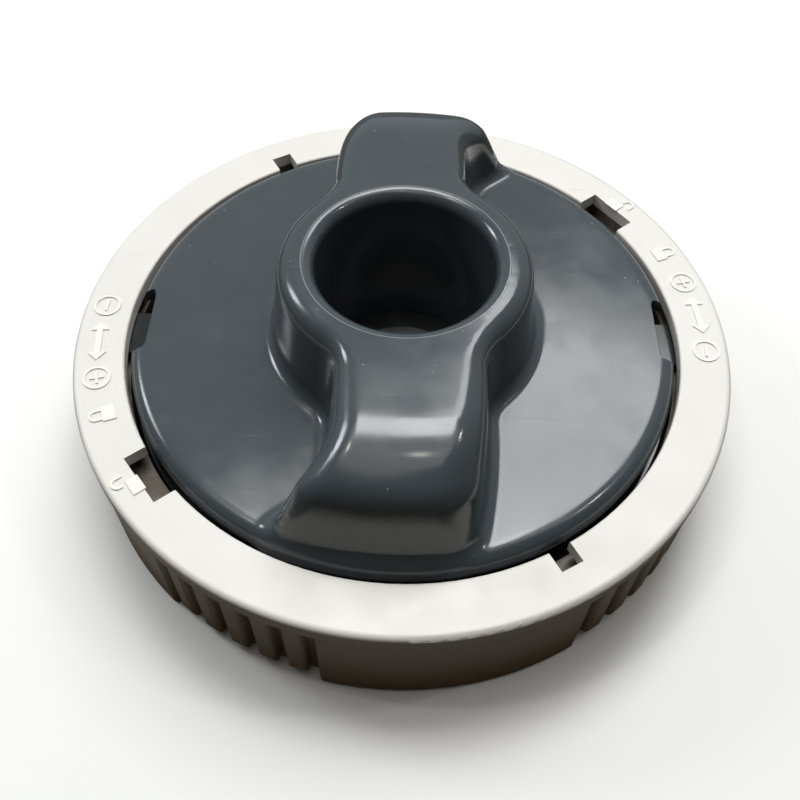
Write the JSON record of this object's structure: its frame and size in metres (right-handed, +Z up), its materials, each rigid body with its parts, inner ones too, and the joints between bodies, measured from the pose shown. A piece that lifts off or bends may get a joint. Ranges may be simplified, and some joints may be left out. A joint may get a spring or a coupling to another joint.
{
  "type": "spa chemical dispenser",
  "caption": "Round bayonet dispenser cap with a winged turning dial, a central bore and a hidden tablet basket, held in a ribbed screw-on collar.",
  "frame": {"origin": "on the axis of the collar and dial, in the plane of the foot of the collar's skirt", "axes": "+Z up along the turning axis, out of the mouth of the centre bore; the dial's wings lie along Y and its pointer notches along X at rest"},
  "size_m": [0.16, 0.16, 0.0569],
  "materials": {
    "ivory_plastic": "moulded, satin",
    "slate_plastic": "moulded, polished",
    "light_grey_plastic": "moulded, satin",
    "black_rubber": "moulded, dull",
    "spring_steel": "drawn wire strip, bright"
  },
  "bodies": {
    "collar": {"collar_ring": "ivory_plastic", "metering_sleeve": "slate_plastic", "base_grid": "slate_plastic", "cup_retainer": "spring_steel", "outlet_seat": "light_grey_plastic", "bore_seal": "black_rubber", "housing_gasket": "black_rubber", "cup_seal": "black_rubber", "seat_seal": "black_rubber"},
    "dial": {"dial_cap": "slate_plastic", "bore_tube": "slate_plastic", "dial_drum": "slate_plastic", "tablet_basket": "slate_plastic", "cap_gasket": "black_rubber", "drum_seal": "black_rubber", "tube_seal": "black_rubber"}
  },
  "joints": [
    {"name": "dial_turn", "type": "hinge", "parent": "collar", "child": "dial", "pos_m": [0, 0, 0], "axis": [0, 0, 1], "range_deg": [-4.4, 38.1]}
  ]
}
